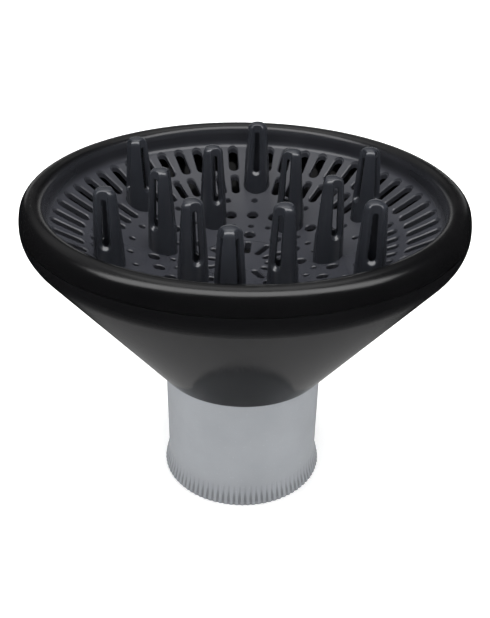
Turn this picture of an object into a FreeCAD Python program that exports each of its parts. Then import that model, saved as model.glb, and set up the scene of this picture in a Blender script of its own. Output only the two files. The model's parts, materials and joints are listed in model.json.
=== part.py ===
import FreeCAD, Part
import math
import os

# A hair dryer diffuser. A soft sleeve grips the dryer's barrel and plugs into the neck of a conical rear shell.
# A dished front moulding with hollow fingers closes the shell, and a shallow cone under its middle spreads the air.
# Millimetres. The origin is the centre of the sleeve's bottom edge, +Z runs along the axis towards the fingers,
# and +X points at the first finger of the outer ring.

# Rim: the arcs that round the bowl's edge, from the cone up and over to the inner wall
RIM_RADIUS = 75.85
RIM_WIDEST_Z = 107.6
RIM_WALL_RADIUS = 67.15
RIM_LOWER_ROUND = 10.5
RIM_SIDE_ROUND = 19.0
RIM_SIDE_SWEEP = 15.0
RIM_CROWN_ROUND = 4.65
SHELL_WALL = 2.0
EDGE = 0.3

# Seam between the two shells
SEAM_LOW_Z = 108.6
SEAM_TOP_Z = 108.95
SEAM_EDGE = 0.05
TONGUE_RADIUS = 73.0
TONGUE_WALL = 1.2
TONGUE_TOP_Z = 110.6
GASKET_RADIUS = 75.55
GASKET_BORE = 73.2

# Cone and neck of the rear shell
CONE_FOOT_RADIUS = 31.5
CONE_FOOT_Z = 46.6
SOCKET_RADIUS = 29.55
SOCKET_WALL = 2.15
SHOULDER_Z = 58.0
SHOULDER_HEIGHT = 2.2
THROAT_RADIUS = 26.2

# Dished plate
DISH_RADIUS = 118.4
DISH_LOW_Z = 87.3
DISH_CENTRE_Z = DISH_LOW_Z + DISH_RADIUS
PLATE = 2.0
PLATE_FILLET = 3.5

# Openings of the plate, in rings: inner and outer end of a slot, or radius of the ring, then width or radius
CUT_DEPTH = 16.0
SLOTS_PER_RING = 54
OUTER_SLOT = (55.5, 65.9, 3.7)
INNER_SLOT = (44.2, 53.1, 3.0)
HOLES_PER_RING = 24
OUTER_HOLE = (40.2, 1.1)
LARGE_HOLE = (32.0, 2.05)
SMALL_HOLE = (25.4, 1.0)
MIDDLE_HOLE = (19.7, 2.05)

# Centre insert
GRILLE_RADIUS = 15.65
GRILLE_HOLE_RADIUS = 15.85
GRILLE_LIP_RADIUS = 16.8
GRILLE_LIP = 1.0
STAR_SLOT = (7.2, 15.0, 2.2)
STAR_SLOTS = 12

# Fingers: heights of the profile run down from the tip
FINGERS_PER_RING = 6
FINGER_STEP = 360.0 / FINGERS_PER_RING
OUTER_FINGER_RING = 48.85
OUTER_TIP_Z = 123.2
OUTER_CHANNEL_LOW = -17.9
INNER_FINGER_RING = 29.24
INNER_TIP_Z = 121.2
INNER_CHANNEL_LOW = -19.5
TIP_CROWN_ROUND = 6.5
TIP_CORNER_ROUND = 2.4
TIP_CORNER = (1.35, -2.63)
TIP_RADIUS = 3.75
FINGER_WAIST = (4.5, -13.0)
FINGER_ROOT = (5.15, -26.0)
FINGER_LENGTH = 40.0
FINGER_HOLE_RADIUS = 5.2
FLANGE_RADIUS = 6.2
FLANGE = 1.2
BORE_TIP = (2.1, -5.0)
BORE_ROOT = (3.5, -40.0)

# Three channels down each finger, with walls at 45 degrees and a slit through the floor
CHANNELS = 3
CHANNEL_FLOOR_WIDTH = 2.5
CHANNEL_FLOOR_TOP = (2.7, -4.0)
CHANNEL_FLOOR_LOW = (3.75, -20.0)
CHANNEL_OPEN = 3.5
SLIT_TOP_Z = -4.2
SLIT_TOP_ROUND = 0.8
SLIT_LOW_ROUND = 1.1

# Sleeve and its hoop
SLEEVE_BORE = 26.9
SLEEVE_TOP_RADIUS = 29.25
SLEEVE_WAIST = (29.15, 9.5)
LIP_RADIUS = 30.8
RIBS = 90
GROOVE_RADIUS = 0.55
GROOVE_LOW = (30.55, 1.1)
GROOVE_TOP = (29.77, 8.0)
SCALLOP_RADIUS = 0.6
SCALLOP_RING = 31.2
HOOP_RADIUS = 28.1
HOOP_BORE = 26.9
HOOP_LOW_Z = 50.0
HOOP_TOP_Z = 57.6

# Baffle, its posts and screws
POSTS = 3
POST_RING = 23.0
POST_FIRST_ANGLE = 7.5
POST_RADIUS = 2.2
BAFFLE_RADIUS = 26.5
BAFFLE_TOP_Z = 81.5
BAFFLE = 1.6
BAFFLE_CONE_RADIUS = 18.0
BAFFLE_APEX_Z = 70.5
SCREW_RADIUS = 0.85
SCREW_HOLE_RADIUS = 0.9
SCREW_TOP_Z = 86.5
SCREW_HEAD_RADIUS = 2.0
SCREW_HEAD = 1.3

ORIGIN = FreeCAD.Vector(0, 0, 0)
AXIS = FreeCAD.Vector(0, 0, 1)
ACROSS = FreeCAD.Vector(0, 1, 0)


def spot(radius, z):
    """Point of a section, drawn in the plane of X and Z."""
    return FreeCAD.Vector(radius, 0, z)


def polar(centre, radius, degrees):
    """Point of a section at an angle round a centre."""
    angle = math.radians(degrees)
    across = round(centre.x + radius * math.cos(angle), 9)
    return spot(across, centre.z + radius * math.sin(angle))


def arc(centre, radius, start, end):
    """Arc of a section from one angle to another."""
    middle = (start + end) / 2
    return Part.Arc(*[polar(centre, radius, degrees) for degrees in (start, middle, end)])


def revolved(outline):
    """Solid swept round the axis by a closed section of points and arcs, which straight lines join."""
    edges = []
    spans = [(item, item) if isinstance(item, FreeCAD.Vector) else (item.StartPoint, item.EndPoint)
             for item in outline]
    for index, item in enumerate(outline):
        if not isinstance(item, FreeCAD.Vector):
            edges.append(item.toShape())
        end = spans[index][1]
        start = spans[(index + 1) % len(outline)][0]
        if end.distanceToPoint(start) > 1e-6:
            edges.append(Part.makeLine(end, start))
    return Part.Face(Part.Wire(Part.__sortEdges__(edges))).revolve(ORIGIN, AXIS, 360)


def turned(shape, degrees):
    """Copy of a shape turned round the axis."""
    copy = shape.copy()
    copy.rotate(ORIGIN, AXIS, degrees)
    return copy


def pillar(ring, radius, low, high):
    """Upright cylinder on +X."""
    return Part.makeCylinder(radius, high - low, spot(ring, low), AXIS)


def dish_z(radius, sphere=DISH_RADIUS):
    """Height of the dish, or of a sphere parallel to it, at a radius."""
    return DISH_CENTRE_Z - math.sqrt(sphere ** 2 - radius ** 2)


def dish_angle(radius, sphere=DISH_RADIUS):
    """Angle from the dish's centre to a radius on it, measured from +X."""
    return math.degrees(math.asin(radius / sphere)) - 90


def dish_arc(start, end, depth=0.0):
    """Arc of a section along the dish, or along a face at a depth below it, between two radii."""
    sphere = DISH_RADIUS + depth
    return arc(spot(0, DISH_CENTRE_Z), sphere, dish_angle(start, sphere), dish_angle(end, sphere))


def dish_ball(depth):
    """Ball whose lower face is parallel to the dish at a depth below it."""
    return Part.makeSphere(DISH_RADIUS + depth, spot(0, DISH_CENTRE_Z))


# The rim's arcs meet on common tangents
SIDE_CENTRE = spot(RIM_RADIUS - RIM_SIDE_ROUND, RIM_WIDEST_Z)
CROWN_CENTRE = polar(SIDE_CENTRE, RIM_SIDE_ROUND - RIM_CROWN_ROUND, RIM_SIDE_SWEEP)
INNER_ROUND = CROWN_CENTRE.x - RIM_WALL_RADIUS
INNER_CENTRE = spot(CROWN_CENTRE.x, CROWN_CENTRE.z + RIM_CROWN_ROUND - INNER_ROUND)
LOWER_CENTRE = spot(RIM_RADIUS - RIM_LOWER_ROUND, RIM_WIDEST_Z)


def rim_angle(z, depth=0.0):
    """Angle of the rim's side, or of a face at a depth inside it, at a height."""
    return math.degrees(math.asin((z - RIM_WIDEST_Z) / (RIM_SIDE_ROUND - depth)))


def rim_spot(z, depth):
    """Point inside the rim's side at a height."""
    return polar(SIDE_CENTRE, RIM_SIDE_ROUND - depth, rim_angle(z, depth))


def on_dish(shape, middle):
    """A shape drawn flat round the origin, laid on the dish with its centre at a radius on +X."""
    shape.rotate(ORIGIN, ACROSS, -math.degrees(math.asin(middle / DISH_RADIUS)))
    shape.translate(spot(middle, dish_z(middle)))
    return shape


def stadium(length, width, z):
    """Outline of a slot with round ends, long in X."""
    end = width / 2
    half = length / 2 - end
    right = [FreeCAD.Vector(half + x * end, y * end, z) for x, y in ((0, -1), (1, 0), (0, 1))]
    left = [FreeCAD.Vector(-half - x * end, y * end, z) for x, y in ((0, 1), (1, 0), (0, -1))]
    edges = [Part.Arc(*right).toShape(), Part.makeLine(right[2], left[0])]
    edges += [Part.Arc(*left).toShape(), Part.makeLine(left[2], right[0])]
    return Part.Wire(edges)


def slot_tools(inner, outer, width):
    """Cutters for a radial slot on +X: an upright one, and one that bevels its upper edge."""
    middle = (inner + outer) / 2
    length = (outer - inner) / math.cos(math.asin(middle / DISH_RADIUS))
    through = Part.Face(stadium(outer - inner, width, -CUT_DEPTH / 2)).extrude(AXIS * CUT_DEPTH)
    through.translate(spot(middle, dish_z(middle)))
    grown = 4 * EDGE
    bevel = Part.makeLoft([stadium(length, width, -EDGE), stadium(length + grown, width + grown, EDGE)], True)
    return [through, on_dish(bevel, middle)]


def hole_tools(ring, radius):
    """Cutters for a round hole on +X: an upright one, and one that bevels its upper edge."""
    middle = dish_z(ring)
    bevel = Part.makeCone(radius, radius + 2 * EDGE, 2 * EDGE, FreeCAD.Vector(0, 0, -EDGE))
    return [pillar(ring, radius, middle - CUT_DEPTH / 2, middle + CUT_DEPTH / 2), on_dish(bevel, ring)]


def off_finger(degrees, first):
    """Angle between a direction and the nearest of the fingers that start at another."""
    return abs((degrees - first + FINGER_STEP / 2) % FINGER_STEP - FINGER_STEP / 2)


def plate_tools():
    """Cutters for every opening of the plate. The rings leave out those that a finger would cover."""
    tools = []
    slot_step = 360.0 / SLOTS_PER_RING
    for index in range(SLOTS_PER_RING):
        degrees = (index + 0.5) * slot_step
        tools += [turned(tool, degrees) for tool in slot_tools(*OUTER_SLOT)]
        if off_finger(degrees, 0) > slot_step:
            tools += [turned(tool, degrees) for tool in slot_tools(*INNER_SLOT)]
    hole_step = 360.0 / HOLES_PER_RING
    for index in range(HOLES_PER_RING):
        degrees = index * hole_step
        tools += [turned(tool, degrees) for tool in hole_tools(*OUTER_HOLE)]
        if off_finger(degrees, FINGER_STEP / 2) > hole_step / 2:
            tools += [turned(tool, degrees) for tool in hole_tools(*LARGE_HOLE) + hole_tools(*SMALL_HOLE)]
        if index % 2 == 0:
            tools += [turned(tool, degrees) for tool in hole_tools(*MIDDLE_HOLE)]
    return tools


def finger_places():
    """Name, ring and direction of each finger."""
    places = []
    for index in range(FINGERS_PER_RING):
        degrees = index * FINGER_STEP
        places.append((f"finger_outer_{index + 1}", OUTER_FINGER_RING, degrees))
        places.append((f"finger_inner_{index + 1}", INNER_FINGER_RING, degrees + FINGER_STEP / 2))
    return places


def post_angles():
    """Directions of the posts under the plate, between its holes."""
    return [POST_FIRST_ANGLE + index * 360.0 / POSTS for index in range(POSTS)]


def front_dish():
    """Upper part of the rim and the dished plate with its openings, in one moulding."""
    reach = DISH_RADIUS - PLATE_FILLET
    fillet_radius = RIM_WALL_RADIUS - PLATE_FILLET
    fillet_centre = spot(fillet_radius, dish_z(fillet_radius, reach))
    fillet_start = dish_angle(fillet_radius, reach)
    dish_centre = spot(0, DISH_CENTRE_Z)
    hollow = RIM_WALL_RADIUS + SHELL_WALL
    inside = RIM_SIDE_ROUND - SHELL_WALL
    body = revolved([
        arc(dish_centre, DISH_RADIUS, dish_angle(GRILLE_HOLE_RADIUS), fillet_start),
        arc(fillet_centre, PLATE_FILLET, fillet_start, 0),
        arc(INNER_CENTRE, INNER_ROUND, 180, 90),
        arc(CROWN_CENTRE, RIM_CROWN_ROUND, 90, RIM_SIDE_SWEEP),
        arc(SIDE_CENTRE, RIM_SIDE_ROUND, RIM_SIDE_SWEEP, rim_angle(SEAM_TOP_Z + SEAM_EDGE)),
        rim_spot(SEAM_TOP_Z, SEAM_EDGE),
        arc(SIDE_CENTRE, inside, rim_angle(SEAM_TOP_Z, SHELL_WALL), RIM_SIDE_SWEEP),
        arc(CROWN_CENTRE, RIM_CROWN_ROUND - SHELL_WALL, RIM_SIDE_SWEEP, 90),
        arc(INNER_CENTRE, INNER_ROUND - SHELL_WALL, 90, 180),
        dish_arc(hollow, GRILLE_HOLE_RADIUS, PLATE),
    ])
    tools = plate_tools()
    for _, ring, degrees in finger_places():
        tools.append(turned(pillar(ring, FINGER_HOLE_RADIUS, DISH_LOW_Z - 10, DISH_LOW_Z + 30), degrees))
    body = body.cut(tools)
    top = dish_z(POST_RING) - PLATE / 2
    post = pillar(POST_RING, POST_RADIUS, BAFFLE_TOP_Z, top)
    post = post.cut(pillar(POST_RING, SCREW_HOLE_RADIUS, BAFFLE_TOP_Z - 1, DISH_LOW_Z))
    return body.fuse([turned(post, degrees) for degrees in post_angles()])


def centre_grille():
    """Round insert at the middle of the plate, with a star of short slots and a lip under the plate."""
    body = revolved([
        dish_arc(0, GRILLE_RADIUS),
        dish_arc(GRILLE_RADIUS, GRILLE_LIP_RADIUS, PLATE),
        dish_arc(GRILLE_LIP_RADIUS, 0, PLATE + GRILLE_LIP),
    ])
    tools = []
    for index in range(STAR_SLOTS):
        tools += [turned(tool, index * 360.0 / STAR_SLOTS) for tool in slot_tools(*STAR_SLOT)]
    return body.cut(tools)


def channel_tool(low):
    """Cutter for a channel that faces +X, from a round lower end out through the tip."""
    def outline(half, across):
        points = [FreeCAD.Vector(across, half, CHANNEL_OPEN), FreeCAD.Vector(across, half, low)]
        bottom = FreeCAD.Vector(across, 0, low - half)
        points += [FreeCAD.Vector(across, -half, low), FreeCAD.Vector(across, -half, CHANNEL_OPEN)]
        edges = [Part.makeLine(points[0], points[1]), Part.Arc(points[1], bottom, points[2]).toShape()]
        edges += [Part.makeLine(points[2], points[3]), Part.makeLine(points[3], points[0])]
        return Part.Wire(edges)

    half = CHANNEL_FLOOR_WIDTH / 2
    depth = FINGER_ROOT[0] - CHANNEL_FLOOR_TOP[0]
    tool = Part.makeLoft([outline(half, 0), outline(half + depth, depth)], True)
    rise = CHANNEL_FLOOR_TOP[1] - CHANNEL_FLOOR_LOW[1]
    tilt = math.atan2(CHANNEL_FLOOR_LOW[0] - CHANNEL_FLOOR_TOP[0], rise)
    tool.rotate(ORIGIN, ACROSS, -math.degrees(tilt))
    tool.translate(spot(CHANNEL_FLOOR_TOP[0] + CHANNEL_FLOOR_TOP[1] * math.sin(tilt), 0))
    return tool


def slit_tool(low):
    """Cutter for the slit in a channel's floor, a little wider at its lower end."""
    top = [FreeCAD.Vector(0, SLIT_TOP_ROUND * y, SLIT_TOP_Z + SLIT_TOP_ROUND * z)
           for y, z in ((-1, 0), (0, 1), (1, 0))]
    bottom = [FreeCAD.Vector(0, SLIT_LOW_ROUND * y, low - SLIT_LOW_ROUND * z)
              for y, z in ((1, 0), (0, 1), (-1, 0))]
    edges = [Part.Arc(*top).toShape(), Part.makeLine(top[2], bottom[0])]
    edges += [Part.Arc(*bottom).toShape(), Part.makeLine(bottom[2], top[0])]
    return Part.Face(Part.Wire(edges)).extrude(spot(FLANGE_RADIUS, 0))


def finger(ring, tip_z, channel_low):
    """Hollow finger on +X with three slots, one facing the axis, and a flange under the plate."""
    corner_angle = math.degrees(math.atan2(TIP_CROWN_ROUND + TIP_CORNER[1], TIP_CORNER[0]))
    side = Part.Arc(spot(TIP_RADIUS, TIP_CORNER[1]), spot(*FINGER_WAIST), spot(*FINGER_ROOT))
    outside = revolved([
        arc(spot(0, -TIP_CROWN_ROUND), TIP_CROWN_ROUND, 90, corner_angle),
        arc(spot(*TIP_CORNER), TIP_CORNER_ROUND, corner_angle, 0),
        side,
        spot(FINGER_ROOT[0], -FINGER_LENGTH),
        spot(0, -FINGER_LENGTH),
    ])
    outside.translate(spot(ring, tip_z))
    flange = pillar(ring, FLANGE_RADIUS, DISH_LOW_Z - 10, DISH_LOW_Z + 30).cut(dish_ball(PLATE))
    body = outside.fuse(flange).common(dish_ball(PLATE + FLANGE))
    bore = Part.makeCone(BORE_ROOT[0], BORE_TIP[0], BORE_TIP[1] - BORE_ROOT[1], spot(0, BORE_ROOT[1]))
    tools = [bore.fuse(Part.makeSphere(BORE_TIP[0], spot(0, BORE_TIP[1])))]
    for index in range(CHANNELS):
        degrees = 180 + index * 360.0 / CHANNELS
        tools += [turned(channel_tool(channel_low), degrees), turned(slit_tool(channel_low), degrees)]
    for tool in tools:
        tool.translate(spot(ring, tip_z))
    return body.cut(tools)


def rear_shell():
    """Cone, lower part of the rim, neck socket and the tongue that centres the front dish."""
    across = LOWER_CENTRE.x - CONE_FOOT_RADIUS
    rise = LOWER_CENTRE.z - CONE_FOOT_Z
    slope = math.atan2(rise, across) - math.asin(RIM_LOWER_ROUND / math.hypot(across, rise))
    wall = SHELL_WALL / math.sin(slope)
    inner_z = [CONE_FOOT_Z + (radius + wall - CONE_FOOT_RADIUS) * math.tan(slope)
               for radius in (TONGUE_RADIUS - TONGUE_WALL, SOCKET_RADIUS + SOCKET_WALL)]
    return revolved([
        spot(SOCKET_RADIUS, CONE_FOOT_Z),
        spot(CONE_FOOT_RADIUS - EDGE, CONE_FOOT_Z),
        spot(CONE_FOOT_RADIUS + EDGE / math.tan(slope), CONE_FOOT_Z + EDGE),
        arc(LOWER_CENTRE, RIM_LOWER_ROUND, math.degrees(slope) - 90, 0),
        arc(SIDE_CENTRE, RIM_SIDE_ROUND, 0, rim_angle(SEAM_LOW_Z - SEAM_EDGE)),
        rim_spot(SEAM_LOW_Z, SEAM_EDGE),
        spot(TONGUE_RADIUS, SEAM_LOW_Z),
        spot(TONGUE_RADIUS, TONGUE_TOP_Z),
        spot(TONGUE_RADIUS - TONGUE_WALL, TONGUE_TOP_Z),
        spot(TONGUE_RADIUS - TONGUE_WALL, inner_z[0]),
        spot(SOCKET_RADIUS + SOCKET_WALL, inner_z[1]),
        spot(SOCKET_RADIUS + SOCKET_WALL, SHOULDER_Z + SHOULDER_HEIGHT),
        spot(THROAT_RADIUS, SHOULDER_Z + SHOULDER_HEIGHT),
        spot(THROAT_RADIUS, SHOULDER_Z),
        spot(SOCKET_RADIUS, SHOULDER_Z),
    ])


def ring(inner, outer, low, high):
    """Plain ring round the axis."""
    return revolved([spot(inner, low), spot(outer, low), spot(outer, high), spot(inner, high)])


def silicone_sleeve():
    """Soft sleeve with a flared and finely ribbed lip, and a recess inside its top for the hoop."""
    flare = Part.Arc(spot(30.3, 2.8), spot(29.55, 5.9), spot(*SLEEVE_WAIST))
    body = revolved([
        spot(SLEEVE_BORE, 0),
        spot(LIP_RADIUS - 0.2, 0),
        spot(LIP_RADIUS, 0.4),
        flare,
        spot(SLEEVE_TOP_RADIUS, SHOULDER_Z - EDGE),
        spot(SLEEVE_TOP_RADIUS - EDGE, SHOULDER_Z),
        spot(HOOP_RADIUS, SHOULDER_Z),
        spot(HOOP_RADIUS, HOOP_LOW_Z),
        spot(SLEEVE_BORE, HOOP_LOW_Z),
    ])
    run = spot(*GROOVE_TOP) - spot(*GROOVE_LOW)
    groove = Part.makeCylinder(GROOVE_RADIUS, run.Length, spot(*GROOVE_LOW), run)
    scallop = pillar(SCALLOP_RING, SCALLOP_RADIUS, -1, GROOVE_LOW[1])
    tools = []
    for index in range(RIBS):
        tools += [turned(tool, index * 360.0 / RIBS) for tool in (groove, scallop)]
    return body.cut(tools)


def air_baffle():
    """Round plate with a cone that points down the sleeve, hung from the posts."""
    low = BAFFLE_TOP_Z - BAFFLE
    body = revolved([
        spot(0, BAFFLE_APEX_Z),
        spot(BAFFLE_CONE_RADIUS, low),
        spot(BAFFLE_RADIUS, low),
        spot(BAFFLE_RADIUS, BAFFLE_TOP_Z),
        spot(BAFFLE_CONE_RADIUS - BAFFLE / 2, BAFFLE_TOP_Z),
        spot(0, BAFFLE_APEX_Z + 1.2 * BAFFLE),
    ])
    hole = pillar(POST_RING, SCREW_HOLE_RADIUS, low - 1, BAFFLE_TOP_Z + 1)
    return body.cut([turned(hole, degrees) for degrees in post_angles()])


def baffle_screws():
    """The pan-head screws that hold the baffle to its posts, as one group."""
    low = BAFFLE_TOP_Z - BAFFLE
    head = pillar(POST_RING, SCREW_HEAD_RADIUS, low - SCREW_HEAD, low)
    bottom = [edge for edge in head.Edges if edge.BoundBox.ZMax < low - SCREW_HEAD / 2]
    head = head.makeFillet(0.5, bottom)
    slot = Part.makeBox(5, 0.6, 0.6, FreeCAD.Vector(POST_RING - 2.5, -0.3, low - SCREW_HEAD - 0.1))
    screw = head.fuse(pillar(POST_RING, SCREW_RADIUS, low, SCREW_TOP_Z)).cut(slot)
    return Part.makeCompound([turned(screw, degrees) for degrees in post_angles()])


def main():
    fingers = {
        OUTER_FINGER_RING: finger(OUTER_FINGER_RING, OUTER_TIP_Z, OUTER_CHANNEL_LOW),
        INNER_FINGER_RING: finger(INNER_FINGER_RING, INNER_TIP_Z, INNER_CHANNEL_LOW),
    }
    pieces = {name: turned(fingers[place], degrees) for name, place, degrees in finger_places()}
    pieces["front_dish"] = front_dish()
    pieces["centre_grille"] = centre_grille()
    pieces["seam_gasket"] = ring(GASKET_BORE, GASKET_RADIUS, SEAM_LOW_Z, SEAM_TOP_Z)
    pieces["rear_shell"] = rear_shell()
    pieces["air_baffle"] = air_baffle()
    pieces["baffle_screws"] = baffle_screws()
    pieces["silicone_sleeve"] = silicone_sleeve()
    pieces["sleeve_hoop"] = ring(HOOP_BORE, HOOP_RADIUS, HOOP_LOW_Z, HOOP_TOP_Z)
    os.makedirs("parts", exist_ok=True)
    for name, shape in pieces.items():
        print(name, len(shape.Solids), shape.isValid(), round(shape.Volume))
        shape.exportStep(f"parts/{name}.step")


main()
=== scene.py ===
"""Looks of a hair dryer diffuser: black moulded bowl, hollow fingers and a grey silicone sleeve.

Metres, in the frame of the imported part: the origin is the centre of the sleeve's bottom edge,
+Z runs up the axis towards the fingers, and +X points at the first finger of the outer ring.
"""

import json
import logging
import math
from dataclasses import dataclass, field
from enum import Enum
from typing import Callable, Iterable, Sequence

import bpy
from mathutils import Matrix, Vector

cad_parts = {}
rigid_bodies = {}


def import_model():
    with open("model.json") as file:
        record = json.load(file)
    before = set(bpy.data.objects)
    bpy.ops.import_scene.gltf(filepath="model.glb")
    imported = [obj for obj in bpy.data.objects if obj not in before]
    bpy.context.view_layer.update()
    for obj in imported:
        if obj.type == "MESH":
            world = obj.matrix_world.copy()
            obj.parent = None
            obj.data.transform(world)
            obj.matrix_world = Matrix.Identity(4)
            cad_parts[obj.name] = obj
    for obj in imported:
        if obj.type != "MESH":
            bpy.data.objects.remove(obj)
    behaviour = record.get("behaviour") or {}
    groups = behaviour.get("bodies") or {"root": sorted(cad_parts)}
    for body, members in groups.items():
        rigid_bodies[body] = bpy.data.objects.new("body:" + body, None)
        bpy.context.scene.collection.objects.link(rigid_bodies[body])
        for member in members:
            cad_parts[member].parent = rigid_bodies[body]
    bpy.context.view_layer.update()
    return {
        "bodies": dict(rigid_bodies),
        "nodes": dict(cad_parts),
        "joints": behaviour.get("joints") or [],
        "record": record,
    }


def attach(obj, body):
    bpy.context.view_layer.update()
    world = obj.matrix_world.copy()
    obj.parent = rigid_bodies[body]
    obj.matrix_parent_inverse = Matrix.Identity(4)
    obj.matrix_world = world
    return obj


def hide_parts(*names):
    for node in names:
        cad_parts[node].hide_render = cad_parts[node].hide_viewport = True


LOG = logging.getLogger("diffuser")
MM = 0.001
# Point attribute: how deep a point lies in a sleeve groove; the sleeve's material paints shade by it.
GROOVE = "groove_depth"
PATCH_OCTAVES = 4.0
PATCH_STOPS = (0.35, 0.65)
MARK_OCTAVES = 5.0
MARK_SHARE = 0.6
MARK_RANGE = (0.3, 0.7)
GRAIN_OCTAVES = 3.0
WELD_MM = 0.003
Profile = Sequence[tuple[float, float]]


class Body(Enum):
    """The parts that move apart from each other."""

    SLEEVE = "sleeve"
    BOWL = "bowl"
    FRONT = "front"


class Light(Enum):
    """What a lamp lights: the colour of things, their shine, or both."""

    FILL = "fill"
    SHINE = "shine"
    BOTH = "both"


class Card(Enum):
    """Outlines of the studio's reflector cards."""

    SQUARE = "square"
    ROUND = "round"


def srgb(code: str) -> tuple[float, float, float, float]:
    """Turn a hex colour into a linear one.

    Args:
        code: Six hex digits after a hash, in sRGB.

    Returns:
        Linear red, green and blue, and an alpha of one.
    """
    parts = [int(code[i:i + 2], 16) / 255 for i in (1, 3, 5)]
    linear = [c / 12.92 if c <= 0.04045 else ((c + 0.055) / 1.055) ** 2.4 for c in parts]
    return linear[0], linear[1], linear[2], 1.0


def add_node(tree: bpy.types.NodeTree, kind: str, links: dict | None = None,
             values: dict | None = None, **settings: object) -> bpy.types.Node:
    """Add one node with its settings and links.

    Args:
        tree: The tree that gets the node.
        kind: Blender's name of the node's type, without its "ShaderNode" prefix.
        links: Input name or number, to the output socket that feeds it.
        values: Input name or number, to its constant value.
        settings: Attributes of the node itself.

    Returns:
        The new node.
    """
    node = tree.nodes.new("ShaderNode" + kind)
    for name, value in settings.items():
        setattr(node, name, value)
    for name, value in (values or {}).items():
        node.inputs[name].default_value = value
    for name, socket in (links or {}).items():
        tree.links.new(socket, node.inputs[name])
    return node


def ramp(tree: bpy.types.NodeTree, source: bpy.types.NodeSocket,
         stops: Sequence[tuple[float, str]]) -> bpy.types.NodeSocket:
    """Colour a value by stops.

    Args:
        tree: The tree that gets the node.
        source: The value.
        stops: Position and hex colour of each stop, in order.

    Returns:
        The colour socket.
    """
    node = add_node(tree, "ValToRGB", {"Fac": source})
    elements = node.color_ramp.elements
    while len(elements) < len(stops):
        elements.new(0.5)
    for element, (position, code) in zip(elements, stops):
        element.position = position
        element.color = srgb(code)
    return node.outputs["Color"]


def span(tree: bpy.types.NodeTree, source: bpy.types.NodeSocket, start: tuple[float, float],
         end: tuple[float, float], smooth: bool = False) -> bpy.types.NodeSocket:
    """Map a value from one range to another.

    Args:
        tree: The tree that gets the node.
        source: The value.
        start: Its range.
        end: The range that comes out.
        smooth: Whether the change eases in and out.

    Returns:
        The mapped value's socket.
    """
    values = {"From Min": start[0], "From Max": start[1], "To Min": end[0], "To Max": end[1]}
    kind = "SMOOTHSTEP" if smooth else "LINEAR"
    return add_node(tree, "MapRange", {"Value": source}, values, interpolation_type=kind).outputs["Result"]


def noise(tree: bpy.types.NodeTree, place: bpy.types.NodeSocket, size_mm: float,
          detail: float = 2.0) -> bpy.types.NodeSocket:
    """Noise whose blobs are about a size in millimetres.

    Args:
        tree: The tree that gets the node.
        place: The coordinates, in metres.
        size_mm: Size of a blob.
        detail: Octaves of finer noise.

    Returns:
        The noise's value socket.
    """
    values = {"Scale": 1000.0 / size_mm, "Detail": detail}
    return add_node(tree, "TexNoise", {"Vector": place}, values).outputs["Fac"]


def tint(tree: bpy.types.NodeTree, patches: bpy.types.NodeSocket, dark: str,
         light: str) -> bpy.types.NodeSocket:
    """Colour soft patches with two near shades."""
    return ramp(tree, patches, list(zip(PATCH_STOPS, (dark, light))))


@dataclass(frozen=True)
class Finish:
    """A surface finish: its colours, how rough it is, and the grain that the mould gave it."""

    name: str
    dark: str
    light: str
    rough: tuple[float, float]
    grain_mm: float
    grain_depth_mm: float
    patch_mm: float = 22.0
    specular: float = 0.5
    ior: float = 1.5

    def shade(self, tree: bpy.types.NodeTree, shader: bpy.types.Node, place: bpy.types.NodeSocket) -> None:
        """Feed the shader's colour, roughness and normal.

        Args:
            tree: The material's tree.
            shader: The principled shader.
            place: Object coordinates.
        """
        colour = tint(tree, self.patches(tree, place), self.dark, self.light)
        tree.links.new(colour, shader.inputs["Base Color"])
        roughness = span(tree, self.marks(tree, place), MARK_RANGE, self.rough)
        tree.links.new(roughness, shader.inputs["Roughness"])
        self.bump(tree, shader, self.grain(tree, place))

    def patches(self, tree: bpy.types.NodeTree, place: bpy.types.NodeSocket) -> bpy.types.NodeSocket:
        """Make the large soft patches of the colour."""
        return noise(tree, place, self.patch_mm, PATCH_OCTAVES)

    def marks(self, tree: bpy.types.NodeTree, place: bpy.types.NodeSocket) -> bpy.types.NodeSocket:
        """Make the smaller marks of handling, which change the roughness."""
        return noise(tree, place, self.patch_mm * MARK_SHARE, MARK_OCTAVES)

    def grain(self, tree: bpy.types.NodeTree, place: bpy.types.NodeSocket) -> bpy.types.NodeSocket:
        """Make the fine grain that raises the surface."""
        return noise(tree, place, self.grain_mm, GRAIN_OCTAVES)

    def bump(self, tree: bpy.types.NodeTree, shader: bpy.types.Node, height: bpy.types.NodeSocket) -> None:
        """Raise the surface by a pattern.

        Args:
            tree: The material's tree.
            shader: The principled shader.
            height: The pattern, from nought to one.
        """
        values = {"Strength": 1.0, "Distance": self.grain_depth_mm * MM}
        bump = add_node(tree, "Bump", {"Height": height}, values)
        tree.links.new(bump.outputs["Normal"], shader.inputs["Normal"])

    def build(self) -> bpy.types.Material:
        """Make the material, once.

        Returns:
            The Blender material.
        """
        made = bpy.data.materials.get(self.name)
        if made is not None:
            return made
        made = bpy.data.materials.new(self.name)
        made.use_nodes = True
        tree = made.node_tree
        shader = tree.nodes["Principled BSDF"]
        shader.inputs["Specular IOR Level"].default_value = self.specular
        shader.inputs["IOR"].default_value = self.ior
        place = add_node(tree, "TexCoord").outputs["Object"]
        self.shade(tree, shader, place)
        return made


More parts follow.
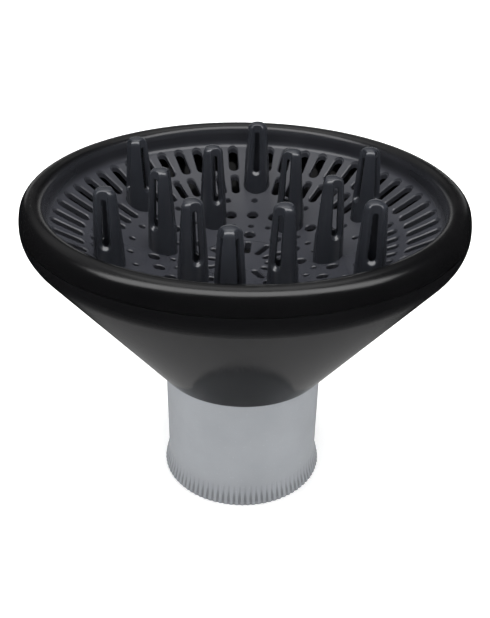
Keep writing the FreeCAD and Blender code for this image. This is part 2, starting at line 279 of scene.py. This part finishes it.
@dataclass(frozen=True)
class DishFinish(Finish):
    """ABS that is polished on the rim and finely textured on the plate inside it, the plate's base colour
    lifted to grey as a painted sheen.
    """

    # Base colours of the plate, lifted from the rim's black to grey: painted sheen.
    plate_painted_sheen_dark: str = "#303136"
    plate_painted_sheen_light: str = "#34353a"
    plate_rough: tuple[float, float] = (0.22, 0.27)
    rim_mm: tuple[float, float] = (65.8, 68.8)
    rim_grain: float = 0.35

    def shade(self, tree: bpy.types.NodeTree, shader: bpy.types.Node, place: bpy.types.NodeSocket) -> None:
        """Blend the plate's texture and its painted sheen into the rim's polish by distance from the axis.

        Args:
            tree: The material's tree.
            shader: The principled shader.
            place: Object coordinates.
        """
        flat = add_node(tree, "VectorMath", {0: place}, {1: (1.0, 1.0, 0.0)}, operation="MULTIPLY")
        away = add_node(tree, "VectorMath", {0: flat.outputs["Vector"]}, operation="LENGTH").outputs["Value"]
        on_rim = span(tree, away, (self.rim_mm[0] * MM, self.rim_mm[1] * MM), (0.0, 1.0), True)
        patches = self.patches(tree, place)
        # The plate's grey colour is painted sheen over the same black ABS as the rim.
        plate = tint(tree, patches, self.plate_painted_sheen_dark, self.plate_painted_sheen_light)
        rim = tint(tree, patches, self.dark, self.light)
        colour = add_node(tree, "Mix", {0: on_rim, 6: plate, 7: rim}, data_type="RGBA")
        tree.links.new(colour.outputs[2], shader.inputs["Base Color"])
        marks = self.marks(tree, place)
        plate_rough = span(tree, marks, MARK_RANGE, self.plate_rough)
        rim_rough = span(tree, marks, MARK_RANGE, self.rough)
        rough = add_node(tree, "Mix", {0: on_rim, 2: plate_rough, 3: rim_rough})
        tree.links.new(rough.outputs[0], shader.inputs["Roughness"])
        depth = span(tree, on_rim, (0.0, 1.0), (1.0, self.rim_grain))
        height = add_node(tree, "Math", {0: self.grain(tree, place), 1: depth}, operation="MULTIPLY")
        self.bump(tree, shader, height.outputs["Value"])


@dataclass(frozen=True)
class SiliconeFinish(Finish):
    """Soft silicone: chalky and even, with dust held on it, painted shade in its grooves and a little light
    let in.
    """

    scatter: float = 0.12
    speck: str = "#b4b7ba"
    speck_mm: float = 0.7
    speck_share: float = 0.16
    # Colour of the painted shade in the grooves between the ribs, and how much of it the deepest groove gets.
    hollow: str = "#55575a"
    painted_shade_share: float = 0.55
    light_depth_mm: float = 2.0

    def shade(self, tree: bpy.types.NodeTree, shader: bpy.types.Node, place: bpy.types.NodeSocket) -> None:
        """Add fine dust to the even colour, paint shade into the grooves by their depth, and let some light
        into the surface.

        Args:
            tree: The material's tree.
            shader: The principled shader.
            place: Object coordinates.
        """
        super().shade(tree, shader, place)
        base = shader.inputs["Base Color"].links[0].from_socket
        dust = span(tree, noise(tree, place, self.speck_mm, 2.0), (0.66, 0.74), (0.0, self.speck_share))
        colour = add_node(tree, "Mix", {0: dust, 6: base}, {7: srgb(self.speck)}, data_type="RGBA")
        # Painted shade: the deeper a point lies in a groove, the more of the darker groove colour it gets.
        pressed = add_node(tree, "Attribute", attribute_name=GROOVE).outputs["Fac"]
        groove_shade_mask = span(tree, pressed, (0.1, 0.9), (0.0, self.painted_shade_share), True)
        colour_with_painted_shade = add_node(tree, "Mix", {0: groove_shade_mask, 6: colour.outputs[2]}, {7: srgb(self.hollow)},
                          data_type="RGBA")
        tree.links.new(colour_with_painted_shade.outputs[2], shader.inputs["Base Color"])
        shader.inputs["Subsurface Weight"].default_value = self.scatter
        shader.inputs["Subsurface Scale"].default_value = self.light_depth_mm * MM
        shader.inputs["Subsurface Radius"].default_value = (1.0, 0.9, 0.85)


@dataclass(frozen=True)
class SteelFinish(Finish):
    """Zinc-plated steel: metallic, with the fine grain of its plating."""

    def shade(self, tree: bpy.types.NodeTree, shader: bpy.types.Node, place: bpy.types.NodeSocket) -> None:
        """Make the surface metallic.

        Args:
            tree: The material's tree.
            shader: The principled shader.
            place: Object coordinates.
        """
        super().shade(tree, shader, place)
        shader.inputs["Metallic"].default_value = 1.0


# ABS moulded in a polished tool: a deep black with soft, slightly hazy reflections. Its index is set well
# below ABS's own 1.5, because the steep sides would otherwise turn white over the pale floor.
SHELL_ABS = Finish("polished_black_abs", "#0b0b0c", "#0d0d0e", (0.08, 0.12), 0.9, 0.0008, 26.0, 0.5, 1.10)
# The same ABS: the rim polished, the plate spark-eroded so that it shines as a soft grey sheen, partly real
# reflection and partly painted sheen in the plate's lighter base colour.
DISH_ABS = DishFinish("black_abs_dish", "#070708", "#09090a", (0.20, 0.26), 0.6, 0.007, 18.0, 0.31)
# Heat-proof nylon moulded in a finely etched tool: satin black with bright, soft edges.
FINGER_NYLON = Finish("satin_black_nylon", "#26282d", "#2a2c31", (0.19, 0.25), 0.5, 0.004, 14.0)
# Silicone rubber, moulded and dusted: matt, cool grey and very even.
SLEEVE_SILICONE = SiliconeFinish("grey_silicone", "#83868a", "#888b8f", (0.58, 0.70), 0.45, 0.010, 16.0)
# Soft thermoplastic seal: dull black, it reads as a dark line.
SEAL_RUBBER = Finish("black_seal_rubber", "#050505", "#080808", (0.70, 0.85), 0.5, 0.010, 8.0)
# Glass-filled nylon: dull and nearly black, its grain drawn coarser than the real one so that it shows.
INNER_NYLON = Finish("glass_filled_nylon", "#0b0b0b", "#121212", (0.48, 0.62), 0.7, 0.020, 10.0)
# Zinc-plated steel, headed and plated: pale, with soft reflections.
SCREW_ZINC = SteelFinish("zinc_plated_steel", "#a9abad", "#bcbdbf", (0.28, 0.42), 0.25, 0.006, 1.2)


def only(obj: bpy.types.Object) -> bpy.types.Object:
    """Select one object alone and make it active.

    Args:
        obj: The object.

    Returns:
        The same object.
    """
    if bpy.context.object is not None and bpy.context.object.mode != "OBJECT":
        bpy.ops.object.mode_set(mode="OBJECT")
    bpy.ops.object.select_all(action="DESELECT")
    obj.select_set(True)
    bpy.context.view_layer.objects.active = obj
    return obj


def dress(obj: bpy.types.Object, finish: Finish) -> None:
    """Give an object one finish all over."""
    obj.data.materials.clear()
    obj.data.materials.append(finish.build())


def settle(obj: bpy.types.Object, angle: float = 32.0) -> None:
    """Shade a piece smooth, with crisp edges above an angle in degrees."""
    only(obj)
    bpy.ops.object.shade_smooth_by_angle(angle=math.radians(angle))


def lathe(name: str, profile: Profile, sides: int) -> bpy.types.Object:
    """Turn a closed section round the axis by extruding a circle from point to point.

    Args:
        name: Name of the piece.
        profile: Radius and height of the section's points in millimetres, in order round it.
        sides: Vertices round the axis.

    Returns:
        The piece, its faces pointing outwards.
    """
    bpy.ops.object.select_all(action="DESELECT")
    radius, height = profile[0]
    bpy.ops.mesh.primitive_circle_add(vertices=sides, radius=radius * MM, location=(0, 0, height * MM))
    piece = bpy.context.object
    piece.name = piece.data.name = name
    bpy.ops.object.transform_apply(location=True, rotation=True, scale=True)
    bpy.ops.object.mode_set(mode="EDIT")
    bpy.ops.mesh.select_all(action="SELECT")
    for next_radius, next_height in list(profile[1:]) + [profile[0]]:
        bpy.ops.mesh.extrude_edges_move()
        bpy.ops.transform.translate(value=(0, 0, (next_height - height) * MM))
        grow = next_radius / radius
        bpy.ops.transform.resize(value=(grow, grow, 1), center_override=(0, 0, next_height * MM))
        radius, height = next_radius, next_height
    bpy.ops.mesh.select_all(action="SELECT")
    bpy.ops.mesh.remove_doubles(threshold=WELD_MM * MM)
    bpy.ops.mesh.normals_make_consistent(inside=False)
    bpy.ops.object.mode_set(mode="OBJECT")
    return piece


def reshape(piece: bpy.types.Object, move: Callable[[Vector], Vector]) -> None:
    """Move every vertex of a piece by a rule.

    Args:
        piece: The piece.
        move: Gives a point's new place, in metres.
    """
    for vertex in piece.data.vertices:
        vertex.co = move(vertex.co.copy())
    piece.data.update()


def moulded(node: bpy.types.Object, name: str, grid_mm: float, rounds: int, kept: float) -> bpy.types.Object:
    """Copy a moulded piece as one skin and round its edges as the mould does.

    Args:
        node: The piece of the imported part.
        name: Name of the copy.
        grid_mm: Size of the new skin's faces.
        rounds: How often the skin is smoothed.
        kept: Share of its faces that are left, where it is flat enough.

    Returns:
        The copy, with soft edges.
    """
    copy = bpy.data.objects.new(name, node.data.copy())
    bpy.context.scene.collection.objects.link(copy)
    only(copy)
    bpy.ops.object.mode_set(mode="EDIT")
    bpy.ops.mesh.customdata_custom_splitnormals_clear()
    bpy.ops.mesh.select_all(action="SELECT")
    bpy.ops.mesh.remove_doubles(threshold=WELD_MM * MM)
    bpy.ops.object.mode_set(mode="OBJECT")
    skin = copy.modifiers.new("skin", "REMESH")
    skin.mode = "VOXEL"
    skin.voxel_size = grid_mm * MM
    soft = copy.modifiers.new("soft", "SMOOTH")
    soft.factor = 0.5
    soft.iterations = rounds
    fewer = copy.modifiers.new("fewer", "DECIMATE")
    fewer.ratio = kept
    for modifier in (skin, soft, fewer):
        bpy.ops.object.modifier_apply(modifier=modifier.name)
    settle(copy, 80.0)
    return copy


@dataclass
class Sleeve:
    """The soft sleeve that grips the dryer, with its fine ribs, and the hoop inside its top. Millimetres."""

    frame: dict
    bore: float = 26.9
    hoop_bore: float = 28.1
    hoop_low: float = 50.0
    top: float = 58.0
    foot_edge: float = 0.25
    wall_margin: float = 0.5
    crisp_angle: float = 50.0
    ribs: int = 90
    sides_per_rib: int = 14
    groove_radius: float = 0.52
    groove_low: tuple[float, float] = (30.48, 1.3)
    groove_top: tuple[float, float] = (29.55, 8.0)
    scallop_radius: float = 0.7
    scallop_ring: float = 31.0
    outside: Profile = (
        (30.55, 0.0), (30.72, 0.1), (30.8, 0.35), (30.78, 0.7), (30.68, 1.05), (30.62, 1.15), (30.56, 1.35),
        (30.46, 1.8), (30.38, 2.3), (30.3, 2.8), (30.18, 3.3), (30.04, 3.8), (29.9, 4.4), (29.75, 5.0),
        (29.62, 5.5), (29.5, 6.1), (29.38, 6.8), (29.28, 7.5), (29.2, 8.4), (29.15, 9.5), (29.16, 12.0),
        (29.17, 20.0), (29.2, 30.0), (29.22, 42.0), (29.24, 52.0), (29.25, 57.4), (29.18, 57.85),
        (28.95, 58.0))

    def section(self) -> Profile:
        """Draw the closed section.

        Returns:
            Radius and height of its points, from the foot of the bore round the outside to the hoop's recess.
        """
        inside = [(self.hoop_bore, self.top), (self.hoop_bore, self.hoop_low), (self.bore, self.hoop_low)]
        foot = [(self.bore, self.foot_edge), (self.bore + self.foot_edge, 0.0)]
        return foot + list(self.outside) + inside

    def ribbed(self, point: Vector) -> Vector:
        """Press the grooves between the ribs into a point of the lip.

        Args:
            point: The point, in metres.

        Returns:
            The point, moved towards the axis where it lies in a groove.
        """
        radius = math.hypot(point.x, point.y) / MM
        height = point.z / MM
        if radius < self.hoop_bore + self.wall_margin or height > self.groove_top[1]:
            return point
        step = 2 * math.pi / self.ribs
        angle = math.atan2(point.y, point.x)
        off = angle - round(angle / step) * step
        if height > self.groove_low[1]:
            share = (height - self.groove_low[1]) / (self.groove_top[1] - self.groove_low[1])
            ring = self.groove_low[0] + share * (self.groove_top[0] - self.groove_low[0])
            cut = self.groove_radius
        else:
            ring, cut = self.scallop_ring, self.scallop_radius
        aside = ring * math.sin(abs(off))
        if aside >= cut:
            return point
        wall = ring * math.cos(off) - math.sqrt(cut ** 2 - aside ** 2)
        share = min(1.0, wall / radius)
        return Vector((point.x * share, point.y * share, point.z))

    def build(self) -> None:
        """Model the sleeve and dress it and its hoop."""
        sleeve = lathe("sleeve_skin", self.section(), self.ribs * self.sides_per_rib)
        smooth = [math.hypot(vertex.co.x, vertex.co.y) for vertex in sleeve.data.vertices]
        reshape(sleeve, self.ribbed)
        # The depth of each point in a groove is kept for the material, which paints shade into the grooves by
        # it.
        depth = sleeve.data.attributes.new(GROOVE, "FLOAT", "POINT")
        for vertex, radius in zip(sleeve.data.vertices, smooth):
            pressed = (radius - math.hypot(vertex.co.x, vertex.co.y)) / (self.groove_radius * MM)
            depth.data[vertex.index].value = min(1.0, pressed)
        settle(sleeve, self.crisp_angle)
        dress(sleeve, SLEEVE_SILICONE)
        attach(sleeve, Body.SLEEVE.value)
        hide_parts("silicone_sleeve")
        dress(self.frame["nodes"]["sleeve_hoop"], INNER_NYLON)
        LOG.info("sleeve: %d faces", len(sleeve.data.polygons))


@dataclass
class SeamSeal:
    """The flat seal between the two shells, its edges rounded. Millimetres."""

    bore: float = 73.2
    radius: float = 75.55
    low: float = 108.6
    high: float = 108.95
    round_edge: float = 0.08
    sides: int = 360
    crisp_angle: float = 50.0

    def section(self) -> Profile:
        """Draw the seal's closed section.

        Returns:
            Radius and height of its points.
        """
        edge = self.round_edge
        return [(self.bore, self.low), (self.radius - edge, self.low), (self.radius, self.low + edge),
                (self.radius, self.high - edge), (self.radius - edge, self.high), (self.bore, self.high)]

    def build(self) -> None:
        """Model the seal."""
        seal = lathe("seam_seal", self.section(), self.sides)
        settle(seal, self.crisp_angle)
        dress(seal, SEAL_RUBBER)
        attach(seal, Body.BOWL.value)
        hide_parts("seam_gasket")
        LOG.info("seal: %d faces", len(seal.data.polygons))


@dataclass
class Bowl:
    """The hard mouldings: rear shell, dished front, centre insert and the baffle inside."""

    frame: dict
    finishes: dict[str, Finish] = field(default_factory=lambda: {
        "rear_shell": SHELL_ABS, "front_dish": DISH_ABS, "centre_grille": DISH_ABS,
        "air_baffle": INNER_NYLON, "baffle_screws": SCREW_ZINC})

    def build(self) -> None:
        """Dress the mouldings."""
        for name, finish in self.finishes.items():
            dress(self.frame["nodes"][name], finish)
            LOG.info("%s: %s", name, finish.name)


@dataclass
class Fingers:
    """The two rings of hollow fingers, their moulded edges rounded.

    Their new skin has faces of grid_mm millimetres and is smoothed for some rounds, and then a share is kept.
    """

    frame: dict
    rings: tuple[str, str] = ("outer", "inner")
    count: int = 6
    grid_mm: float = 0.22
    rounds: int = 8
    kept: float = 0.35

    def build(self) -> None:
        """Round the edges of each ring's first finger, copy it round the ring, and dress the copies."""
        for ring in self.rings:
            node = self.frame["nodes"][f"finger_{ring}_1"]
            first = moulded(node, f"{ring}_finger_1", self.grid_mm, self.rounds, self.kept)
            dress(first, FINGER_NYLON)
            pieces = [first] + [self.turned(first, f"{ring}_finger_{index}", index)
                                for index in range(2, self.count + 1)]
            for index, piece in enumerate(pieces, 1):
                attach(piece, Body.FRONT.value)
                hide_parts(f"finger_{ring}_{index}")
            LOG.info("%s fingers: %d faces each", ring, len(first.data.polygons))

    def turned(self, first: bpy.types.Object, name: str, index: int) -> bpy.types.Object:
        """Copy a ring's first finger to another place of the ring.

        Args:
            first: The finger.
            name: Name of the copy.
            index: Number of the place, from one.

        Returns:
            The copy, with its own mesh.
        """
        piece = bpy.data.objects.new(name, first.data.copy())
        piece.data.name = name
        piece.data.transform(Matrix.Rotation(2 * math.pi * (index - 1) / self.count, 4, "Z"))
        bpy.context.scene.collection.objects.link(piece)
        return piece


@dataclass(frozen=True)
class Lamp:
    """A rectangular softbox: how far it hangs above, ahead of and beside the bowl, its size and its watts."""

    name: str
    above: float
    ahead: float
    aside: float
    size: tuple[float, float]
    watts: float
    light: Light = Light.FILL

    def hang(self, middle: Vector, front: Vector, right: Vector) -> None:
        """Hang the softbox and point it at the bowl.

        Args:
            middle: Middle of the bowl.
            front: Direction towards the camera, level.
            right: Direction to the camera's right.
        """
        data = bpy.data.lights.new(self.name, "AREA")
        data.shape = "RECTANGLE"
        data.size, data.size_y = self.size
        data.energy = self.watts
        lamp = bpy.data.objects.new(self.name, data)
        bpy.context.scene.collection.objects.link(lamp)
        offset = Vector((0, 0, self.above)) + front * self.ahead + right * self.aside
        lamp.location = middle + offset
        lamp.rotation_euler = offset.to_track_quat("Z", "Y").to_euler()
        lamp.visible_glossy = self.light is not Light.FILL
        lamp.visible_diffuse = self.light is not Light.SHINE


LAMPS = (
    Lamp("top_softbox", 0.85, -0.30, 0.0, (0.8, 0.4), 1.2, Light.BOTH),
    Lamp("top_fill", 0.90, 0.20, 0.0, (0.9, 0.9), 15.0),
    Lamp("front_softbox", 0.8075, 0.2635, 0.0, (2.4, 0.45), 20.0, Light.SHINE),
    Lamp("back_softbox", 0.13, -1.15, 0.0, (1.6, 0.2), 0.6, Light.SHINE),
    Lamp("front_fill", 0.25, 1.1, 0.0, (1.2, 0.6), 7.0),
    Lamp("left_fill", 0.25, 0.0, -1.0, (0.8, 0.6), 4.8),
    Lamp("right_fill", 0.25, 0.0, 1.0, (0.8, 0.6), 4.8),
    Lamp("back_fill", 0.5, -1.0, 0.0, (1.2, 0.8), 6.0),
)


@dataclass
class Studio:
    """Pale floor and backdrop, softboxes, reflector cards and the camera. Metres and degrees."""

    azimuth: float = 244.93
    elevation: float = 30.064
    distance: float = 0.3039
    aim_z: float = 0.06796
    aim_aside: float = 0.00039
    roll: float = 0.929
    lens: float = 48.085
    middle_z: float = 0.09
    floor_size: float = 8.0
    floor_z: float = -0.0002
    backdrop_radius: float = 1.25
    backdrop_height: float = 6.0
    backdrop_z: float = 2.4
    table_glow: float = 0.35
    dark_glow: float = 0.012
    backdrop_glow: float = 1.0
    white_glow: tuple[float, float] = (0.80, 0.015)
    white_fade: tuple[float, float] = (0.03, 0.16)
    white_ahead: float = 0.05
    card_heights: tuple[float, float] = (0.0004, 0.0008)
    sky_aside: float = 0.4
    sky_height: float = 1.73
    sky_reach: tuple[float, float] = (0.74, 0.92)
    sky_glow: tuple[float, float] = (0.02, 0.42)

    def axes(self) -> tuple[Vector, Vector, Vector]:
        """Find the camera's directions, without its roll.

        Returns:
            The directions to the camera's right, up from it, and back from the object to it.
        """
        turn, lift = math.radians(self.azimuth), math.radians(self.elevation)
        back = Vector((math.cos(turn) * math.cos(lift), math.sin(turn) * math.cos(lift), math.sin(lift)))
        right = Vector((0, 0, 1)).cross(back).normalized()
        return right, back.cross(right), back

    def camera(self) -> None:
        """Place the camera at the studio's viewing angle."""
        right, up, back = self.axes()
        turn = math.radians(self.roll)
        aim = Vector((0, 0, self.aim_z)) + right * self.aim_aside
        level = right * math.cos(turn) + up * math.sin(turn)
        upright = up * math.cos(turn) - right * math.sin(turn)
        data = bpy.data.cameras.new("studio_camera")
        data.lens = self.lens
        data.sensor_width = 36.0
        data.clip_start, data.clip_end = 0.01, 50.0
        camera = bpy.data.objects.new("studio_camera", data)
        bpy.context.scene.collection.objects.link(camera)
        turned = Matrix((level, upright, back)).transposed().to_4x4()
        camera.matrix_world = Matrix.Translation(aim + back * self.distance) @ turned
        bpy.context.scene.camera = camera

    def floor(self) -> None:
        """Lay the pale floor, a white table with a little light from below."""
        bpy.ops.object.select_all(action="DESELECT")
        bpy.ops.mesh.primitive_plane_add(size=self.floor_size, location=(0, 0, self.floor_z))
        floor = bpy.context.object
        floor.name = "studio_floor"
        made = bpy.data.materials.new("studio_paper")
        made.use_nodes = True
        shader = made.node_tree.nodes["Principled BSDF"]
        shader.inputs["Base Color"].default_value = srgb("#fafafa")
        shader.inputs["Roughness"].default_value = 0.9
        shader.inputs["Specular IOR Level"].default_value = 0.1
        shader.inputs["Emission Color"].default_value = srgb("#ffffff")
        shader.inputs["Emission Strength"].default_value = self.table_glow
        floor.data.materials.append(made)

    def backdrop(self) -> None:
        """Stand a pale round backdrop behind everything, for low views. It only shows, and lights nothing."""
        bpy.ops.object.select_all(action="DESELECT")
        bpy.ops.mesh.primitive_cylinder_add(vertices=128, radius=self.backdrop_radius,
                                            depth=self.backdrop_height, end_fill_type="NOTHING",
                                            location=(0, 0, self.backdrop_z))
        wall = bpy.context.object
        wall.name = "studio_backdrop"
        wall.data.materials.append(self.glowing("studio_backdrop", self.backdrop_glow))
        wall.visible_diffuse = wall.visible_glossy = wall.visible_transmission = wall.visible_shadow = False

    def glowing(self, name: str, glow: float) -> bpy.types.Material:
        """Make the material of a thing that only glows.

        Args:
            name: Name of the material.
            glow: Its brightness.

        Returns:
            The material.
        """
        made = bpy.data.materials.new(name)
        made.use_nodes = True
        shader = made.node_tree.nodes["Principled BSDF"]
        shader.inputs["Base Color"].default_value = srgb("#000000")
        shader.inputs["Specular IOR Level"].default_value = 0.0
        shader.inputs["Emission Color"].default_value = srgb("#ffffff")
        shader.inputs["Emission Strength"].default_value = glow
        return made

    def fade(self, card: bpy.types.Object) -> None:
        """Let a card's glow fade from its middle to its edge.

        Args:
            card: The card.
        """
        tree = card.data.materials[0].node_tree
        place = add_node(tree, "TexCoord").outputs["Object"]
        away = add_node(tree, "VectorMath", {0: place}, operation="LENGTH").outputs["Value"]
        glow = span(tree, away, self.white_fade, self.white_glow)
        tree.links.new(glow, tree.nodes["Principled BSDF"].inputs["Emission Strength"])

    def card(self, name: str, shape: Card, size: float, height: float, glow: float) -> bpy.types.Object:
        """Lay a flat card that only reflections see, as a studio lays cards round a glossy product.

        Args:
            name: Name of the card.
            shape: Its outline.
            size: Its width.
            height: How far it lies above the floor.
            glow: Brightness that it reflects back.

        Returns:
            The card.
        """
        bpy.ops.object.select_all(action="DESELECT")
        if shape is Card.ROUND:
            bpy.ops.mesh.primitive_circle_add(vertices=96, radius=size / 2, fill_type="NGON",
                                              location=(0, 0, height))
        else:
            bpy.ops.mesh.primitive_plane_add(size=size, location=(0, 0, height))
        card = bpy.context.object
        card.name = name
        card.data.materials.append(self.glowing(name, glow))
        card.visible_camera = card.visible_diffuse = card.visible_shadow = False
        return card

    def sky(self) -> None:
        """Light the room: bright high behind the object, a little to its left, and dark elsewhere."""
        world = bpy.data.worlds.new("studio_room")
        bpy.context.scene.world = world
        world.use_nodes = True
        tree = world.node_tree
        right, _, back = self.axes()
        level = -Vector((back.x, back.y, 0)) - right * self.sky_aside + Vector((0, 0, self.sky_height))
        bright_way = tuple(level.normalized())
        way = add_node(tree, "TexCoord").outputs["Generated"]
        toward = add_node(tree, "VectorMath", {0: way}, {1: bright_way}, operation="DOT_PRODUCT")
        bright = span(tree, toward.outputs["Value"], self.sky_reach, self.sky_glow, True)
        ground = tree.nodes["Background"]
        ground.inputs["Color"].default_value = srgb("#ffffff")
        tree.links.new(bright, ground.inputs["Strength"])

    def build(self) -> None:
        """Set the studio up."""
        self.camera()
        self.floor()
        self.backdrop()
        self.sky()
        right, _, back = self.axes()
        front = Vector((back.x, back.y, 0)).normalized()
        low, high = self.card_heights
        self.card("dark_card", Card.SQUARE, self.floor_size, low, self.dark_glow)
        card = self.card("white_card", Card.ROUND, self.white_fade[1] * 2, high, self.white_glow[0])
        card.location += front * self.white_ahead
        self.fade(card)
        for lamp in LAMPS:
            lamp.hang(Vector((0, 0, self.middle_z)), front, right)
        bpy.context.scene.view_settings.view_transform = "Standard"
        LOG.info("studio: camera, floor and softboxes")


def main() -> None:
    """Build the object's looks and the studio round it."""
    logging.basicConfig(level=logging.INFO, format="%(message)s")
    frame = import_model()
    Sleeve(frame).build()
    SeamSeal().build()
    Bowl(frame).build()
    Fingers(frame).build()
    Studio().build()


if __name__ == "__main__":
    main()
